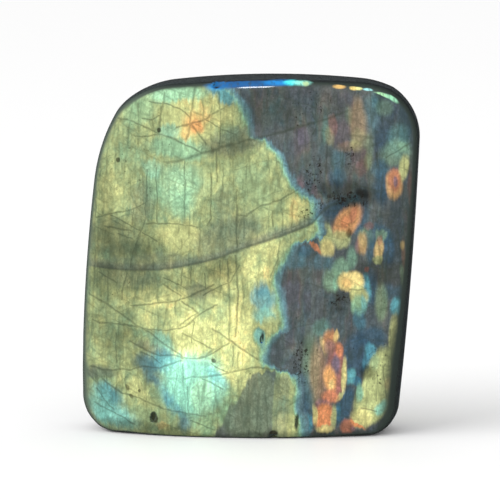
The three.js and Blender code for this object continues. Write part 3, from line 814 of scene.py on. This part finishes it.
# Healed cracks, by half width, each as the points along it
CRACKS = {
    0.4: [
        [(-26.6, 13.6), (-26.4, 10)], [(-24.6, 84), (-20.4, 83.2), (-16.6, 82.4), (-14.2, 80.2)],
        [(-28, 75.2), (-24.2, 75.4), (-21.6, 75.8)], [(-14, 43.4), (-14, 39)],
        [(-16.2, 43), (-16.4, 38.4)], [(-37.4, 41.2), (-32.8, 38.6)], [(-9.2, 19), (-5.2, 17)],
        [(-10.6, 41.6), (-10.4, 37.6)], [(-13.4, 29.8), (-13.8, 24)], [(-3.4, 23.6), (-3.6, 18.4)],
        [(33.6, 18.2), (34.4, 10.2)], [(32.2, 16.8), (32, 9.2)], [(35.4, 27.4), (35.8, 16.6)],
    ],
    0.42: [
        [(-28.3, 57.3), (-28.7, 53.5)], [(-34.2, 55.6), (-29.5, 53.3), (-22.5, 49.3)],
        [(-32.3, 51), (-28.7, 49.8)], [(-20.8, 38.6), (-16.4, 35.7)], [(-20.7, 40.3), (-15, 37.6)],
        [(-7, 45), (-6.6, 41.6)], [(6.3, 57.3), (6.3, 53.4)], [(-2, 43.7), (-4.3, 39.4), (-11, 36.2)],
        [(-2.3, 21.8), (-2.3, 17.7)], [(-14, 4.5), (-8.3, 2)],
    ],
    0.45: [
        [(-38.2, 11.8), (-36.4, 8.8), (-33.8, 6.4)], [(-33, 26), (-33, 18.6)],
        [(-16, 18.8), (-16.2, 14.2)], [(-26.8, 21.4), (-23.8, 20.4), (-21.8, 18.4)],
        [(-23.8, 27.2), (-19.8, 27), (-15.4, 28.2), (-11.6, 31.4)],
        [(-26.2, 79.6), (-23.6, 79.4), (-21.4, 80.6)], [(-10.8, 80), (-8, 78.2), (-2.8, 76)],
        [(-7.8, 71.8), (-7.4, 64.4)], [(-15.6, 69.6), (-15.6, 64.8)],
        [(-9, 66.4), (-9, 55.4), (-10, 53.6)],
        [(-37.8, 54.8), (-35, 55.8), (-31.2, 56.4), (-27.8, 57.4), (-25, 59.2)],
        [(-35.8, 52.8), (-29.2, 51.8)], [(-25.2, 53.6), (-17.8, 53.8), (-12.2, 53.2)],
        [(-16.2, 34.4), (-12.2, 31.8)], [(-16.8, 28.6), (-12.2, 31.8)], [(-11.2, 15.4), (-6, 12.4)],
        [(15.8, 81.4), (17.2, 78.6), (16, 76.4)], [(31.8, 71.6), (32, 68.2)],
        [(12.8, 25.2), (13.4, 19.6), (12.8, 15.2)], [(28.4, 7.6), (32, 6.6)],
    ],
    0.46: [
        [(8, 50.2), (7.6, 45.5), (5.7, 40.8)],
    ],
    0.5: [
        [(-2.8, 62.5), (-2.6, 48.4)], [(-7.7, 33.8), (-12.8, 30.8)], [(34, 70), (40, 73.7)],
        [(-39, 29), (-35.8, 28.4), (-30.6, 28.2), (-26.8, 27.6), (-24.2, 27)],
        [(-38.6, 7.8), (-34.6, 6), (-31.6, 4.6), (-28.6, 3)], [(-15, 12.8), (-14.8, 6.2)],
        [
            (-32.2, 79.4), (-29.8, 79.2), (-26.2, 78), (-22.2, 76), (-18.6, 74.8), (-15.4, 73.4),
            (-11.6, 71.4),
        ],
        [(-7, 86.4), (-6.8, 82), (-6.6, 77.6), (-7, 72.2)],
        [(-25, 67), (-25, 60.2), (-25.6, 57.4), (-25.4, 54.8), (-26.6, 51.6), (-27.4, 49.8)],
        [(-22.6, 67.6), (-22.4, 53.8)], [(-15.4, 64.8), (-15.6, 54)],
        [(-26.8, 50.4), (-28.8, 46), (-29.2, 42.8)], [(-30, 41.2), (-31, 38.4), (-31.4, 34.4)],
        [(-29, 33), (-23.8, 33.8), (-17.2, 34.6), (-14, 36), (-8.2, 38.8)], [(-16.2, 26.6), (-8.4, 22.4)],
        [(-10.4, 20.6), (-8.4, 21.8), (-4.4, 24.2)], [(25.2, 37.6), (27.4, 37.4), (29.4, 37.8)],
    ],
    0.55: [
        [
            (-36.4, 14), (-34, 12.2), (-31.6, 10.8), (-27, 9.6), (-24.4, 8.4), (-20.6, 7), (-16.8, 6.4),
            (-10.6, 5.6),
        ],
        [(-17.6, 77.6), (-14.2, 78.6), (-10.4, 79.8), (-7.2, 81.8), (-3.8, 83.6)],
        [(-14, 78.6), (-12.4, 76.6), (-10.2, 73.6)], [(-2.8, 46.2), (-2.4, 35.2), (-2.8, 26)],
        [(-8.8, 27.8), (-4.4, 25), (2.4, 20.2)],
    ],
    0.6: [
        [(-2.5, 56.3), (-0.3, 56), (2.2, 58), (8, 60), (12.2, 62.5)],
        [
            (-40, 35.6), (-34, 32.6), (-28, 28.2), (-24.2, 26.2), (-20.6, 23.6), (-16, 20.4),
            (-12.8, 20.2), (-10.4, 20.8), (-8.4, 22.6),
        ],
        [(-29.4, 24), (-25.6, 22), (-21.8, 20.6), (-18, 20.8), (-16, 20.2)],
        [
            (-39.6, 17), (-34.6, 16.4), (-29.4, 16.8), (-26.4, 17.8), (-21.8, 17.4), (-18.8, 18.8),
            (-16.4, 19.6),
        ],
        [(-15.8, 15), (-11.8, 15.6), (-8, 16), (-3.8, 17), (2.6, 18.2), (10.2, 17.2)],
        [(-20.6, 86), (-21.2, 82.4), (-21.6, 79.4), (-22, 76.4)],
        [(-4.8, 44.6), (-4.4, 35.2), (-4.4, 24.6)],
    ],
    0.65: [
        [(-12.4, 89.4), (-13.2, 85.6), (-14, 80.6), (-14.2, 78.4), (-15, 74.8)],
    ],
}

# Straight edges of the dull foot: a point on each and the way it runs, with the foot on its right
DULL_FOOT_EDGES = [(-3.5, 10, 58), (3, 17.3, 2), (7, 8, -92)]
OLIVE_STRIP_EDGES = [(-3.5, 10, 58), (4, 17, -12), (11, 8, -90)]
# Flashes on the rounded top edge, by x and by the surface's tilt in degrees, with a level and a strength
BEVEL_FLASHES = [
    ("cyan round the chip", -7.5, 42, 2.2, 26, 0, 4, 0.2, 0.8),
    ("deep blue", 0, 50, 9, 24, 0, 6, 0.15, 0.9),
    ("violet", 2.5, 60, 1.5, 20, 0, 1.2, 0.1, 0.5),
    ("bright blue", 8, 56, 4, 26, 0, 4, 0.19, 1),
    ("cyan", 10.8, 56, 1.8, 26, 0, 2, 0.26, 1),
    ("pale cyan", 13.2, 54, 2.2, 24, 0, 2, 0.36, 0.95),
    ("pale yellow", 14.2, 50, 0.8, 22, 0, 0.7, 0.55, 0.8),
    ("orange", 22.4, 36, 1.4, 14, 0, 1.2, 0.79, 0.8),
    ("orange by the chips", 26, 32, 1, 14, 0, 0.8, 0.76, 0.9),
    ("yellow", 27.2, 32, 0.9, 12, 0, 0.7, 0.66, 0.9),
    ("teal", 29.4, 30, 1.1, 10, 0, 0.8, 0.33, 0.9),
    ("green arc", 33, 20, 1.8, 9, 0, 1.4, 0.46, 1),
    ("green arc low", 35.2, 21, 1.6, 9, 0, 1.3, 0.42, 0.9),
]
# Colours of the flash as they are seen, from thin plates to thick ones: the level, red, green and blue
SPECTRUM = [
    (0.05, 70, 80, 90), (0.11, 56, 76, 98), (0.17, 56, 94, 120), (0.23, 68, 124, 148),
    (0.29, 98, 168, 182), (0.35, 130, 198, 188), (0.41, 152, 212, 178), (0.47, 156, 196, 152),
    (0.53, 156, 176, 130), (0.59, 182, 192, 134), (0.65, 216, 216, 146), (0.71, 238, 212, 140),
    (0.77, 240, 186, 116), (0.84, 226, 148, 100), (0.91, 184, 112, 94), (1, 116, 106, 126),
]
# Colours through which the flash dies away at its border: the level, red, green and blue
FRINGE = [
    (0.02, 94, 114, 120), (0.1, 100, 126, 134), (0.2, 108, 144, 152), (0.3, 114, 158, 158),
    (0.38, 136, 180, 166), (0.48, 160, 192, 152),
]


def flash_at(level):
    """The colour that one thickness of plates gives back."""
    stops, *channels = zip(*SPECTRUM)
    return seen(*(np.interp(level, stops, channel) for channel in channels))


def lay_flashes(tree, place, rows, colour):
    """Lays single flashes over a colour: as the patches, with a level and a strength."""
    for _, *numbers, level, strength in rows:
        colour = mixed(tree, patch_at(tree, place, *numbers, strength), colour, flash_at(level))
    return colour


def right_of_edges(tree, place, edges, softness):
    """1 where a place lies on the right of every edge."""
    share = 1.0
    for edge_x, edge_z, way in edges:
        rightward = (math.sin(math.radians(way)), 0.0, -math.cos(math.radians(way)))
        start = edge_x * rightward[0] + edge_z * rightward[2]
        reach = reach_along(tree, place, rightward)
        share = times(tree, share, ease(tree, reach, start, start + softness))
    return share


MM_PER_METRE = 1000.0
labradorite = bpy.data.materials.new("labradorite")
labradorite.use_nodes = True
tree = labradorite.node_tree
shader = tree.nodes["Principled BSDF"]
coordinates = add(tree, "TexCoord")
place = scaled(tree, coordinates.outputs["Object"], MM_PER_METRE)
x, y, z = add(tree, "SeparateXYZ", place).outputs
bent_place = use(tree, bent, place, 2.6, 4.0)
bent_x, _, bent_z = add(tree, "SeparateXYZ", bent_place).outputs
torn_place = use(tree, bent, place, 1.4, 2.2)
normal = coordinates.outputs["Normal"]
normal_x, normal_y, normal_z = add(tree, "SeparateXYZ", normal).outputs

# Thickness of the plates in the big flash
CLOUD_SCALE = (0.13, 0.1, 0.08)
PANEL_SCALE = (0.16, 0.05, 0.09)
MOTTLE_SCALE = (0.3, 0.25, 0.2)
level = lay_patches(tree, bent_place, FLASH_PATCHES, "ADD", FLASH_LEVEL)
veil = lay_patches(tree, bent_place, VEILS, "MAXIMUM", 0.0)
brightness = lay_patches(tree, torn_place, LIGHTS, "ADD", 1.0)
_, clouds = noise(tree, place, CLOUD_SCALE, 4.0, 0.6)
cloud, second_cloud, third_cloud = add(tree, "SeparateColor", clouds).outputs
panels = add(tree, "TexVoronoi", vectors(tree, "MULTIPLY", bent_place, PANEL_SCALE), None, 1.0)
panel, second_panel, _ = add(tree, "SeparateColor", panels.outputs["Color"]).outputs
mottle, _ = noise(tree, torn_place, MOTTLE_SCALE, 4.0, 0.6)
unevenness = swayed(tree, swayed(tree, 0.0, mottle, 0.3), panel, 0.04)
inside = calculate(tree, "SUBTRACT", follow(tree, bent_z, FLASH_BORDER), bent_x)
inside = swayed(tree, inside, cloud, 4.0)
level = times(tree, calculate(tree, "ADD", level, unevenness), ease(tree, inside, -4.0, 1.2))
flash_colour = lay_flashes(tree, bent_place, NEAR_FLASHES, ramp(tree, level, SPECTRUM))
flash_colour = mixed(tree, ease(tree, level, 0.36, 0.5), ramp(tree, level, FRINGE), flash_colour)

# The grey stone, in upright blocks, with faint flashes of every colour
HINT_SCALE = (0.3, 0.2, 0.075)
stone_colour = mixed(tree, ease(tree, third_cloud, 0.4, 0.6), seen(82, 93, 99), seen(92, 98, 98))
for pattern, low, high, most, tint in (
    (second_cloud, 0.52, 0.66, 1.0, (90, 93, 99)),
    (second_cloud, 0.46, 0.34, 1.0, (82, 100, 104)),
    (second_panel, 0.5, 1.0, 0.4, (108, 112, 110)),
):
    stone_colour = mixed(tree, ease(tree, pattern, low, high, 0.0, most), stone_colour, seen(*tint))
_, hint = noise(tree, torn_place, HINT_SCALE, 2.0, 0.5)
hint_level, hint_strength, _ = add(tree, "SeparateColor", hint).outputs
hint_colour = ramp(tree, ease(tree, hint_level, 0.3, 0.7), SPECTRUM)
stone_colour = mixed(tree, ease(tree, hint_strength, 0.42, 0.62, 0.0, 0.05), stone_colour, hint_colour)
stone_colour = lay_flashes(tree, torn_place, FLASHES, stone_colour)

# Strength of the flash, less under the grey veils, in the band over the main vein and on the back
BACK_SHARE = 0.45
VEIN_VEIL = 0.65
OLIVE_VEIL = 0.4
FOOT_VEIL = 0.88
over_vein = calculate(tree, "SUBTRACT", z, follow(tree, x, MAIN_VEIN))
vein_band = times(tree, ease(tree, over_vein, 3.4, 0.6), ease(tree, over_vein, -0.5, 0.1))
veil = greater(tree, veil, times(tree, vein_band, VEIN_VEIL))
for edges, softness, most in ((OLIVE_STRIP_EDGES, 1.2, OLIVE_VEIL), (DULL_FOOT_EDGES, 1.0, FOOT_VEIL)):
    veil = greater(tree, veil, times(tree, right_of_edges(tree, bent_place, edges, softness), most))
strength = times(tree, ease(tree, level, 0.02, 0.16), calculate(tree, "SUBTRACT", 1.0, veil))
strength = times(tree, strength, ease(tree, normal_y, 0.4, -0.4, BACK_SHARE, 1.0))
face_colour = mixed(tree, strength, stone_colour, flash_colour)

# Light and dark streaks along the leaning plates, blotches, the grain and the blocks
PLATE_LEAN = -0.045
STREAK_SCALE = (1.3, 1.0, 0.07)
BLOTCH_SCALE = (0.7, 0.6, 0.55)
GRAIN_SCALE = (2.0, 1.5, 1.8)
SEEN_POWER = 2.2
lean = calculate(tree, "MULTIPLY_ADD", z, PLATE_LEAN, x)
streak_place = add(tree, "CombineXYZ", lean, y, z).outputs[0]
streaks, _ = noise(tree, streak_place, STREAK_SCALE, 2.0, 0.6)
blotches, _ = noise(tree, place, BLOTCH_SCALE, 3.0, 0.6)
fine, _ = noise(tree, place, GRAIN_SCALE, 3.0, 0.7)
for pattern, low, high, darkest, lightest in (
    (streaks, 0.3, 0.62, 0.93, 1.03),
    (blotches, 0.3, 0.7, 0.92, 1.08),
    (fine, 0.28, 0.72, 0.93, 1.06),
    (panel, 0.0, 1.0, 0.96, 1.04),
):
    brightness = times(tree, brightness, ease(tree, pattern, low, high, darkest, lightest))
seen_brightness = calculate(tree, "POWER", greater(tree, brightness, 0.0), SEEN_POWER)
face_colour = mixed(tree, 1.0, face_colour, seen_brightness, "MULTIPLY")

# Cracks and veins
WOBBLE_SCALE = (0.35, 0.35, 0.35)
WOBBLE = 1.2
VEIN_TAPER = 6
CRACK_TINT = 0.72
CRACK_SHARE = 0.82
wobble = scaled(tree, drift(tree, place, WOBBLE_SCALE, 3.0, 0.6), WOBBLE)
crack_place = vectors(tree, "ADD", place, wobble)
crack_x, _, crack_z = add(tree, "SeparateXYZ", crack_place).outputs
cracks = lay_cracks(tree, crack_place, CRACKS)
for points, half_width in ((UPPER_VEIN, 0.9), (MAIN_VEIN, 1.0)):
    off = calculate(tree, "ABSOLUTE", calculate(tree, "SUBTRACT", crack_z, follow(tree, crack_x, points)))
    start, end = points[0][0], points[-1][0]
    from_start = ease(tree, crack_x, start, start + VEIN_TAPER)
    from_end = ease(tree, crack_x, end, end - VEIN_TAPER)
    vein = times(tree, ease(tree, off, half_width, 0.0), times(tree, from_start, from_end))
    cracks = greater(tree, cracks, vein)
# Nets of finer cracks: the turn, length and spacing of the meshes, the strength, and how much they wander
CRACK_NETS = [
    (89, 24, 2.6, 0.75, 0.0),
    (22, 26, 4.6, 0.6, 0.0),
    (-24, 24, 4.4, 0.65, 0.0),
    (80, 3.6, 2.0, 0.55, 1.8),
    (85, 2.2, 1.1, 0.5, 1.2),
]
NET_HALF_WIDTH = 0.4
NET_AREA_SCALE = 0.12
WANDER_SCALE = (0.5, 0.5, 0.5)
wander = drift(tree, place, WANDER_SCALE, 2.0, 0.6)
for turn, length, spacing, most, wandering in CRACK_NETS:
    wandered = vectors(tree, "ADD", crack_place, scaled(tree, wander, wandering))
    net_x, net_z = reach_of(tree, wandered, (0.0, 0.0, 0.0), *axes_at(turn, length, spacing))
    net = add(tree, "TexVoronoi", add(tree, "CombineXYZ", net_x, net_z, 0.0).outputs[0], None, 1.0)
    net.voronoi_dimensions = "2D"
    net.feature = "DISTANCE_TO_EDGE"
    net_area = vectors(tree, "ADD", scaled(tree, place, NET_AREA_SCALE), (turn, 0.0, turn))
    net_strength = add(tree, "TexNoise", net_area, None, 1.0, 1.0, 0.5).outputs["Fac"]
    net_strength = ease(tree, net_strength, 0.4, 0.58, 0.15, most)
    net_darkness = ease(tree, net.outputs["Distance"], NET_HALF_WIDTH / spacing, 0.0)
    cracks = greater(tree, cracks, times(tree, net_darkness, net_strength))
crack_colour = mixed(tree, CRACK_TINT, face_colour, seen(58, 66, 52))
face_colour = mixed(tree, times(tree, cracks, CRACK_SHARE), face_colour, crack_colour)

# Grains and specks
SPECK_SCALE = (1.2, 1.2, 1.0)
SPECKS_EVERYWHERE = 0.06
SPECK_GAIN = 0.18
GRAIN_SHARE = 0.85
grains = lay_patches(tree, crack_place, GRAINS, "MAXIMUM", 0.0)
speck_area = lay_patches(tree, bent_place, SPECK_FIELDS, "MAXIMUM", SPECKS_EVERYWHERE)
speck_noise, _ = noise(tree, place, SPECK_SCALE, 3.0, 0.75)
specks = ease(tree, calculate(tree, "MULTIPLY_ADD", speck_area, SPECK_GAIN, speck_noise), 0.66, 0.78)
grains = greater(tree, grains, specks)
face_colour = mixed(tree, times(tree, grains, GRAIN_SHARE), face_colour, seen(34, 28, 22))

# Where the surface turns away at the ground edge, no flash comes back, and the edge is painted nearly black,
# darker than the stone's sides, as painted shade. Where it faces left it is painted lighter, as painted light
# from the left. The plates lean to the left.
PLATE_AXIS = (-0.12, -0.99, -0.05)
facing = calculate(tree, "ABSOLUTE", reach_along(tree, normal, PLATE_AXIS))
frontward = ease(tree, facing, 0.1, 0.75)
# Painted shade: the edge goes dark where it turns away from the front
edge_colour_and_shade = mixed(tree, frontward, seen(32, 34, 38), seen(64, 74, 68))
# Painted light: the edge that faces left is painted lighter
lit_left_edge_colour = mixed(tree, frontward, seen(58, 68, 66), seen(92, 104, 92))
edge_colour_and_shade = mixed(tree, ease(tree, normal_x, 0.1, -0.5), edge_colour_and_shade, lit_left_edge_colour)
edge_colour_and_shade = mixed(tree, times(tree, fine, 0.3), edge_colour_and_shade, seen(24, 28, 26))
side_colour = mixed(tree, ease(tree, streaks, 0.35, 0.65), seen(58, 64, 68), seen(84, 92, 92))
edge_colour_and_shade = mixed(tree, ease(tree, facing, 0.3, 0.05, 0.0, 0.7), edge_colour_and_shade, side_colour)
edge_colour_and_shade = mixed(tree, ease(tree, normal_y, 0.1, 0.5, 0.0, 0.8), edge_colour_and_shade, side_colour)
colour = mixed(tree, ease(tree, facing, 0.58, 0.9), edge_colour_and_shade, face_colour)


def edge_flash_at(level):
    """The colour along the ground edge, where the flash is brighter and its blues are deeper."""
    depth, lift = (2.0, 14.0) if level < 0.34 else (1.1, 1.6)
    bright = [min(1.0, lift * channel ** depth) for channel in flash_at(level)[:3]]
    return (*bright, 1.0)


# Flashes on the rounded top edge, on the front alone, and the polish
POLISH_ROUGHNESS = 0.06
FELDSPAR_IOR = 1.56
tilt = calculate(tree, "DEGREES", calculate(tree, "ARCSINE", normal_z))
bevel_place = add(tree, "CombineXYZ", x, 0.0, tilt).outputs[0]
streaked = ease(tree, streaks, 0.3, 0.55, 0.5, 1.0)
in_front = ease(tree, y, 0.0, -4.0)
for _, *numbers, level_here, strength_here in BEVEL_FLASHES:
    share = times(tree, patch_at(tree, bevel_place, *numbers, strength_here), streaked)
    colour = mixed(tree, times(tree, share, in_front), colour, edge_flash_at(level_here))
tree.links.new(colour, shader.inputs["Base Color"])
shader.inputs["Roughness"].default_value = POLISH_ROUGHNESS
shader.inputs["IOR"].default_value = FELDSPAR_IOR
mesh.materials.append(labradorite)

# The shelf
# A plain pale sheet that the stone stands on, wide enough to fill the view.

SHELF_HALF = 6.0
shelf_corners = [(-1, -1), (1, -1), (1, 1), (-1, 1)]
shelf_mesh = bpy.data.meshes.new("shelf")
shelf_mesh.from_pydata([(SHELF_HALF * i, SHELF_HALF * j, 0) for i, j in shelf_corners], [], [(0, 1, 2, 3)])
shelf = bpy.data.objects.new("shelf", shelf_mesh)
bpy.context.scene.collection.objects.link(shelf)
shelf_material = bpy.data.materials.new("shelf")
shelf_material.use_nodes = True
shelf_material.node_tree.nodes["Principled BSDF"].inputs["Base Color"].default_value = (1.0, 1.0, 1.0, 1)
shelf_mesh.materials.append(shelf_material)

# Light and camera
# A white studio. The polish mirrors a dark room instead, with one soft box high in front.

SKY_LIGHT = (0.88, 0.88, 0.88, 1.0)
MIRRORED_ROOM = (0.03, 0.03, 0.03, 1.0)
BACKDROP = (1.0, 1.0, 1.0, 1.0)
world = bpy.data.worlds.new("studio")
world.use_nodes = True
sky = world.node_tree.nodes["Background"]
ray = add(world.node_tree, "LightPath")
sky_colour = mixed(world.node_tree, ray.outputs["Is Glossy Ray"], SKY_LIGHT, MIRRORED_ROOM)
sky_colour = mixed(world.node_tree, ray.outputs["Is Camera Ray"], sky_colour, BACKDROP)
world.node_tree.links.new(sky_colour, sky.inputs["Color"])
bpy.context.scene.world = world
bpy.context.scene.view_settings.view_transform = "Standard"
shelf.visible_glossy = False


def toward(azimuth, elevation):
    """The way to look from the stone, azimuth 0 straight in front of it and growing to its right."""
    azimuth, elevation = math.radians(azimuth), math.radians(elevation)
    return Vector((
        math.sin(azimuth) * math.cos(elevation),
        -math.cos(azimuth) * math.cos(elevation),
        math.sin(elevation),
    ))


LAMP_AIM = Vector((0, 0, 0.045))


def place_lamp(lamp, azimuth, elevation, distance):
    away = toward(azimuth, elevation)
    placed = bpy.data.objects.new(lamp.name, lamp)
    placed.location = LAMP_AIM + away * distance
    placed.rotation_euler = away.to_track_quat("Z", "Y").to_euler()
    bpy.context.scene.collection.objects.link(placed)
    return placed


key = bpy.data.lights.new("key_light", "SUN")
key.energy = 2.2
key.angle = math.radians(50)
place_lamp(key, azimuth=-66, elevation=33, distance=1.0).visible_glossy = False

strip = bpy.data.lights.new("strip_light", "AREA")
strip.shape = "RECTANGLE"
strip.size = 0.072
strip.size_y = 0.1
strip.energy = 0.4
place_lamp(strip, azimuth=-4, elevation=58, distance=0.6).visible_diffuse = False

AZIMUTH = 3.0
ELEVATION = 8.0
DISTANCE = 0.7
AIM = Vector((0, 0, 0.04577))
SENSOR = 36.0
LENS = 200.5
away = toward(AZIMUTH, ELEVATION)
camera_data = bpy.data.cameras.new("camera")
camera_data.sensor_width = SENSOR
camera_data.lens = LENS
camera = bpy.data.objects.new("camera", camera_data)
camera.location = AIM + away * DISTANCE
camera.rotation_euler = away.to_track_quat("Z", "Y").to_euler()
bpy.context.scene.collection.objects.link(camera)
bpy.context.scene.camera = camera
